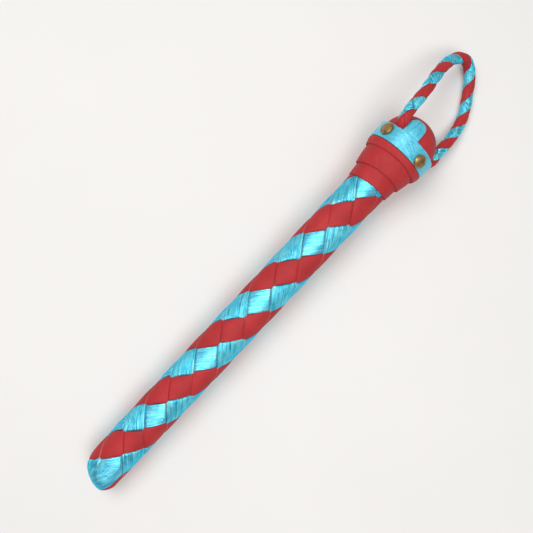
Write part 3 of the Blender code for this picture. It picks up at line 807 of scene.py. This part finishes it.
LAP_ANGLE = math.radians(200)  # where the ends of the collar's strips lap, underneath
LAP_HEIGHT = 0.35  # in millimetres
BAND_FLARE = 0.0286  # how steeply the band widens towards the crown
BAND_LEATHER = 1.6 * MM
NAIL_PULL = 0.45 * MM  # how deep the leather is drawn down round a nail
SHANK_RADIUS = 0.8 * MM
SHANK_LENGTH = 8 * MM
STUD_SEAT = 0.65 * MM  # from the band's radius out to a nail head's underside
STUD_RIM = 0.35 * MM
TAB_START = 375.4 * MM
TAB_END = 391.6 * MM
TAB_HALF = 7.6 * MM
TAB_CORNER = 5.6 * MM
TAB_ANGLE = math.radians(-9)
TAB_CLEAR = 0.25 * MM  # from the crown to the tab's underside


def rounded(outline):
    """The closed outline with its corners cut twice over, so that they come out round."""
    for _ in range(2):
        after = np.roll(outline, -1, axis=0)
        cuts = [0.75 * outline + 0.25 * after, 0.25 * outline + 0.75 * after]
        outline = np.stack(cuts, axis=1).reshape(-1, 2)
    return outline


def spaced(points, step):
    """The closed outline with points added so that none are further apart than step."""
    made = []
    for p, q in zip(points, np.roll(points, -1, axis=0)):
        count = max(1, int(np.ceil(np.linalg.norm(q - p) / step)))
        made += [p + (q - p) * k / count for k in range(count)]
    return np.array(made)


def full_turn(count):
    """Angles once round the stick, as a column."""
    return np.linspace(0, 2 * math.pi, count, endpoint=False)[:, None]


def swelling(x, angle, seed):
    """How far a wound strip stands out, in millimetres: unevenly, and rising round to its lap.

    Round a closed ring the noise has to meet itself, so it is read off a circle.
    """
    ring_u, ring_v = 6 * np.cos(angle), 6 * np.sin(angle)
    broad = noise(ring_u + 7, ring_v + x / MM / 6, seed)
    small = noise(2 * ring_u, 2 * ring_v + x / MM / 2.5, seed + 1)
    lap = ((angle - LAP_ANGLE) / (2 * math.pi)) % 1
    lapped = LAP_HEIGHT * (lap - 0.5) * smooth_step(lap, 0.0, 0.012)
    return 0.16 * (broad + 0.5 * small) + lapped


def wound_strip(name, outer, inner, leans, bow, seed):
    """A strip wound once round the knob: its outline turned, with a lap where its ends meet.

    outer and inner are its (x, radius) in millimetres. Its leading end is slanted by the first of
    leans and its other end by the second. At its sides its leading end is nearer the tip by bow.
    """
    outline = spaced(rounded(spaced(np.array([*outer, *inner]) * MM, 1.2 * MM)), 0.45 * MM)
    inside = np.interp(outline[:, 0], *np.array(sorted(inner)).T * MM)
    outside = smooth_step(outline[:, 1] - inside, 0.35 * MM, 0.9 * MM)
    angle = full_turn(240)
    x, radius = outline[None, :, 0], outline[None, :, 1]
    start, end = outline[:, 0].min(), outline[:, 0].max()
    lean = leans[0] + (leans[1] - leans[0]) * (x - start) / (end - start)
    radius = radius + outside * swelling(x, angle, seed) * MM
    waver = 0.22 * MM * noise(3 * np.cos(angle) + 3, 3 * np.sin(angle), seed + 2)
    front = 1 - smooth_step(x, start, start + 3 * MM)
    bowed = bow * np.sin(angle) ** 2 * (1 - smooth_step(x, start, end))
    y = -radius * np.sin(angle)
    points = placed(x - lean * y + waver * front - bowed, y, radius * np.cos(angle))
    shape = loft(points, closed=True, paint=edge_faces(outline, start))
    stand_for(make(name + "_leather", [shape], [RED, DARK_RED_EDGE], sharp=60), name)


def edge_faces(outline, start):
    """Marks the faces of the strip's leading cut edge, the end that faces the tip."""
    after = np.roll(outline, -1, axis=0)
    step = after - outline
    steep = np.abs(step[:, 1]) > 1.2 * np.abs(step[:, 0])
    return (steep & ((outline[:, 0] + after[:, 0]) / 2 < start + 0.55 * MM)).astype(int)


def collar():
    """Three strips wound side by side, each lapping the one before."""
    start, one, two = (v / MM for v in (COLLAR_START, COLLAR_STEP_1, COLLAR_STEP_2))
    band = BAND_START / MM
    wound_strip(
        "collar_wrap_lower",
        [(start, 17.0), (start + 0.3, 17.9), (start + 6, 18.5), (one + 1.6, 19.0)],
        [(one + 1.6, 17.7), (start + 0.4, 17.1), (start, 16.7)],
        (0.09, 0.10),
        0.4 * MM,
        51,
    )
    wound_strip(
        "collar_wrap_middle",
        [(one, 19.3), (one + 0.3, 20.5), (one + 8, 22.3), (two + 1.6, 23.2)],
        [(two + 1.6, 21.7), (one + 8, 20.8), (one + 1.9, 19.3), (one, 19.0)],
        (0.10, 0.10),
        1.3 * MM,
        61,
    )
    wound_strip(
        "collar_wrap_lip",
        [(two, 23.4), (two + 0.4, 24.5), (band - 2.5, 25.9), (band - 0.7, 26.1), (band - 0.1, 25.2)],
        [(band - 0.3, 24.0), (two + 1.9, 23.5), (two, 23.2)],
        (0.03, 0.0),
        1.0 * MM,
        71,
    )


def stud_x(place):
    """How far along the stick the nail at this angle stands."""
    return STUD_PLACE - STUD_LEAN * BAND_RADIUS * math.sin(place)


def stud_dimples(x, angle):
    """How deep the leather is drawn down round each stud, from 0 to 1."""
    depth = 0
    for place in STUD_ANGLES:
        away = np.hypot(x - stud_x(place), from_angle(angle, place) * BAND_RADIUS)
        depth = depth + np.exp(-((away / (1.15 * STUD_RADIUS)) ** 2))
    return depth


def band():
    """The foil band under the studs: a flat ring with soft edges, puckered round each nail."""
    start, end = BAND_START, BAND_END
    outer, inner = BAND_RADIUS + 0.05 * MM, BAND_RADIUS - BAND_LEATHER
    flared = outer + (end - start) * BAND_FLARE
    corners = [(start, outer), (end, flared), (end, inner), (start, inner)]
    outline = spaced(rounded(spaced(np.array(corners), 0.9 * MM)), 0.4 * MM)
    angle = full_turn(420)
    x, radius = outline[None, :, 0], outline[None, :, 1]
    outside = smooth_step(radius, BAND_RADIUS - 0.7 * MM, BAND_RADIUS - 0.2 * MM)
    ring_u, ring_v = 9 * np.cos(angle), 9 * np.sin(angle)
    along = x / MM
    small = noise(ring_u * 1.2, ring_v * 1.2 + along / 1.1, 81)
    fine = 1 - 2 * np.abs(noise(ring_u * 2.2 + along / 0.9, ring_v * 2.2 - along / 1.1, 82))
    broad = noise(ring_u * 0.7, ring_v * 0.7 + along / 9, 83)
    creased = (0.09 * small + 0.05 * fine + 0.05 * broad) * MM
    radius = radius + outside * (creased - NAIL_PULL * stud_dimples(x, angle))
    waver = 0.25 * MM * noise(ring_u * 0.8, ring_v * 0.8, 84) * smooth_step(x, end - 3 * MM, end)
    shape = loft(around(x + waver, radius, angle), closed=True)
    stand_for(make("stud_band_leather", [shape], [BLUE_BAND], sharp=60), "stud_band")


def dome_at(x, height):
    """The dome's place and radius at x along the stick, this high over it."""
    t = np.arcsin(np.clip((x - CAP_CENTRE) / CAP_REACH, 0, 1))
    return x + height * np.sin(t), CAP_RADIUS * np.cos(t) + height * np.cos(t)


def dome():
    """The leather drawn over the crown, pleated a little where the band gathers it."""
    rise = np.linspace(0, math.pi / 2, 64)[:-1, None]
    skirt_x = np.array([[372.4], [374.2], [376.2]]) * MM  # it runs on under the band
    skirt_r = np.full((3, 1), CAP_RADIUS)
    angle = full_turn(180).T
    out_x = np.vstack([skirt_x, CAP_CENTRE + CAP_REACH * np.sin(rise)])
    out_r = np.vstack([skirt_r, CAP_RADIUS * np.cos(rise)])
    in_x = np.vstack([skirt_x, CAP_CENTRE + (CAP_REACH - LEATHER) * np.sin(rise)])[::-1]
    in_r = np.vstack([skirt_r - LEATHER, (CAP_RADIUS - LEATHER) * np.cos(rise)])[::-1]
    wave = np.sin(angle * 17 + 1.3 * np.sin(angle * 3)) * 0.5 + np.sin(angle * 29 + 2) * 0.3
    pleats = wave * np.exp(-((out_x - BAND_END) / (5 * MM)) ** 2)
    u, v = np.cos(angle) * out_r / MM, np.sin(angle) * out_r / MM
    lumps = 0.16 * noise(u / 6, v / 6, 91) + 0.05 * noise(u / 2.5, v / 2.5, 92)
    outer = around(out_x, out_r + (0.16 * pleats + lumps) * MM, angle)
    shape = dome_shell(outer, around(in_x, in_r, angle))
    stand_for(make("dome_cap_leather", [shape], [RED], sharp=60), "dome_cap")


def dome_shell(outer, inner):
    """Joins the outside and the inside of a cup at its rim, each closed with a point at the crown."""
    turns = outer.shape[1]
    shape = loft(np.concatenate([inner, outer], axis=0)[:, ::-1])
    without_caps = shape["faces"][:-2]
    count = len(shape["points"])
    end = count - turns
    crowns = [inner[0].mean(axis=0), outer[-1].mean(axis=0)]
    fans = []
    for k in range(turns):
        after = (k + 1) % turns
        fans += [[after, k, count], [end + k, end + after, count + 1]]
    shape["points"] = np.vstack([shape["points"], *crowns])
    shape["faces"] = without_caps + fans
    shape["colours"] = [0] * len(shape["faces"])
    shape["lay"] = np.zeros((4 * len(without_caps) + 3 * len(fans), 2))
    return shape


def tab():
    """The foil tab that comes out from under the band and lies over the dome."""
    x = np.linspace(TAB_START, TAB_END, 60)[:, None]
    side = np.linspace(-1, 1, 44)[None, :]
    past = np.clip((x - (TAB_END - TAB_CORNER)) / TAB_CORNER, 0, 1)
    width = TAB_HALF - TAB_CORNER * (1 - np.sqrt(np.clip(1 - past**2, 0, 1)))
    turn = TAB_ANGLE + width * side / CAP_RADIUS
    top = around(*dome_at(x, TAB_CLEAR + tab_face(x, side, past) * MM), turn)
    low = around(*dome_at(x, TAB_CLEAR), turn)
    grid = np.concatenate([top, low[:, ::-1]], axis=1)
    stand_for(make("crown_tab_leather", [loft(grid)], [BLUE_TAB], sharp=60), "crown_tab")


def tab_face(x, side, past):
    """How thick the tab is at each place in millimetres: thin at its rim, with two folds along it."""
    rim = smooth_step(np.abs(side), 0.86, 1.0) + smooth_step(past, 0.8, 1.0)
    along, across = x / MM, side * TAB_HALF / MM
    long_fold = np.exp(-(((across + 2.0 + 0.25 * np.sin(along / 2)) / 0.55) ** 2))
    fold_left = 1 - smooth_step(x, TAB_START + 5 * MM, TAB_START + 9 * MM)
    short_fold = np.exp(-(((across + 3.9) / 0.5) ** 2)) * fold_left
    ripples = 0.13 * noise(along / 2.1, across / 2.4, 95) + 0.07 * noise(along / 1.1, across / 1.3, 96)
    calmer = 1 - 0.7 * np.clip(rim, 0, 1)
    return 1.35 - 0.35 * rim - 0.62 * long_fold - 0.45 * short_fold + ripples * calmer


def stud(number, place):
    """A hammered nail head: a low dome over a narrow rim, with shallow dents, and its shank."""
    rise = np.linspace(0, math.pi / 2, 22)[1:]
    dome_lift = STUD_RIM + (STUD_HEIGHT - STUD_RIM) * np.sin(rise)
    dome_out = STUD_RADIUS * np.cos(rise)
    dome_out[-1] = 0.02 * MM  # not quite a point, so that its last face keeps an area
    lift = np.array([-SHANK_LENGTH, 0, 0, 0, STUD_RIM, *dome_lift])[:, None]
    out = np.array([*[SHANK_RADIUS] * 3, STUD_RADIUS, STUD_RADIUS, *dome_out])[:, None]
    turn = full_turn(48).T
    u, v = out * np.cos(turn), out * np.sin(turn)
    deeper = np.clip(out / STUD_RADIUS, 0.2, 1) * (lift > STUD_RIM)
    dents = 0.05 * MM * noise(u / MM / 1.7 + number * 5, v / MM / 1.7, 97) * deeper
    away = BAND_RADIUS + STUD_SEAT + lift + dents
    y = -away * math.sin(place) - v * math.cos(place)
    z = away * math.cos(place) - v * math.sin(place)
    shape = loft(placed(stud_x(place) + u, y, z))
    stand_for(make(f"stud_nail_{number}_head", [shape], [BRASS], sharp=40), f"stud_nail_{number}")


# ---------------------------------------------------------------- the hanging loop

LINE_STEP = 0.5 * MM
# Half widths of the laces, where their lines are 1 apart
RIGHT_LACE = 0.54
LEFT_LACE = 0.42
RED_LEFT_LACE = 0.46
LACE_SLANT = 0.05
LACE_THICKNESS = 1.15 * MM
LACE_STEP = LACE_THICKNESS / 2 + 0.1 * MM
LACE_MIDDLE = CORD_RADIUS - LACE_STEP - LACE_THICKNESS / 2 - 0.05 * MM
LACE_PITCH = 6.8 * MM  # from one crossing of the laces to the next
LACE_LENGTH = 9.2 * MM  # along a lace from one crossing to the next
LACE_WIDTH = 9 * MM  # of the room that a lace has
LACE_CROWN = 0.35 * MM
LACE_BULGE = 0.45 * MM
LACE_THIN = 0.35 * MM
LACE_CREASES = 0.9
RED_LACE_CREASES = 0.35  # against 1 for a blue lace
LOOP_PHASE = math.radians(20)
LOOP_TWIST = math.radians(125)  # further turn at its first end
TWIST_END = 0.45  # where that has died out, as a share of its length


def frames_along(line, first_up):
    """Directions across a line that turn with it and never spin: up and side at each point."""
    forward = np.gradient(line, axis=0)
    forward /= np.linalg.norm(forward, axis=1)[:, None]
    ups = []
    up = first_up
    for direction in forward:
        up = up - direction * (up @ direction)
        up = up / np.linalg.norm(up)
        ups.append(up)
    return np.array(ups), np.cross(forward, ups)


def loop_line():
    """The loop's middle line from inside the knob, out over the table and back."""
    first = around(ROOT_PLACES, ROOT_RADII, FIRST_ROOT_ANGLE)
    last = around(ROOT_PLACES, ROOT_RADII, LAST_ROOT_ANGLE)
    guides = np.array(LOOP_GUIDES) * MM
    return smooth_line([*first, *guides, *last[::-1]], LINE_STEP)


def twist_left(share):
    """How much of the loop's extra twist is left at this share of its length."""
    return np.clip(1 - share / TWIST_END, 0, 1)


def loop_point(line, a, b, radius, pitch):
    """Where line a crosses line b on the loop, this far out from its middle line."""
    run = np.arange(len(line)) * LINE_STEP
    place = np.clip((b - a) * pitch, 0, run[-1])
    angle = LOOP_PHASE + LOOP_TWIST * twist_left(place / run[-1]) + (a + b - 1) * math.pi / 2
    centre, up, side = (
        np.stack([np.interp(place, run, column) for column in values.T], axis=-1)
        for values in (line, *frames_along(line, UP))
    )
    out = up * np.cos(angle)[..., None] + side * np.sin(angle)[..., None]
    return above_table(centre + out * radius[..., None])


def lace(line, own, right_hand, seed, red):
    """One of the four laces, as a lofted shape over the loop's line."""
    half, cover = (RIGHT_LACE, LEFT_LACE) if right_hand else (LEFT_LACE, RIGHT_LACE)
    if red and not right_hand:
        half = RED_LEFT_LACE
    across, height, share, cut = strip_section(half, LACE_SLANT, LACE_THICKNESS, LACE_CROWN, 11)
    length = (len(line) - 1) * LINE_STEP
    crossings = round(length / LACE_PITCH)
    rows = row_places(crossings, 14, cover)
    a, b = plait_lines(own, right_hand, across, rows)
    along = b if right_hand else a
    level = crossing_level(along, own, right_hand, cover)
    flat_u = rows * LACE_LENGTH / MM + 0 * across
    flat_v = across[None, :] * LACE_WIDTH / MM + 0 * rows
    folds = LACE_CREASES * creases(flat_u, flat_v, seed, RED_LACE_CREASES if red else 1.0) * share
    raised = (folds + LACE_BULGE * share * hump(along)) * np.clip(level, 0, 1)
    thin = np.where(level < 0.2, LACE_THIN * share, 0)
    radius = LACE_MIDDLE + level * LACE_STEP + height + raised - thin
    points = loop_point(line, a, b, radius, length / crossings)
    lay = np.stack([flat_u, flat_v], axis=-1) * MM
    return loft(points, paint=cut + 2 if red else cut, lay=lay)


def hanging_loop():
    """The four-lace round plait, in place of the CAD loop and its roots."""
    line = loop_line()
    shapes = []
    for own in range(2):
        shapes.append(lace(line, own, True, 101 + own, red=own == 1))
        shapes.append(lace(line, own, False, 111 + own, red=own == 0))
    loop = make("hanging_loop", shapes, [BLUE, TAUPE_EDGE, RED, RED])  # red laces are dyed through
    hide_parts("wrist_loop", "loop_root_1", "loop_root_2")
    leaves = around(EXIT_PLACE, EXIT_RADIUS, FIRST_ROOT_ANGLE)
    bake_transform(loop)


# ---------------------------------------------------------------- everything


def repaint(node, material):
    """Gives a CAD node that stays its finished material."""
    mesh = frame["nodes"][node].data
    mesh.materials.clear()
    mesh.materials.append(material)


def build():
    """Everything in order: the camera, the cord, and then the rest."""
    look_down()
    hanging_loop()
    light_the_table()
    lay_table()
    plait_stick()
    collar()
    band()
    dome()
    tab()
    for number, place in enumerate(STUD_ANGLES, 1):
        stud(number, place)
    wood = sawn_wood()
    repaint("core_dowel", wood)
    repaint("knob_block", wood)
    repaint("strand_binding", waxed_thread())


build()
bpy.context.view_layer.update()
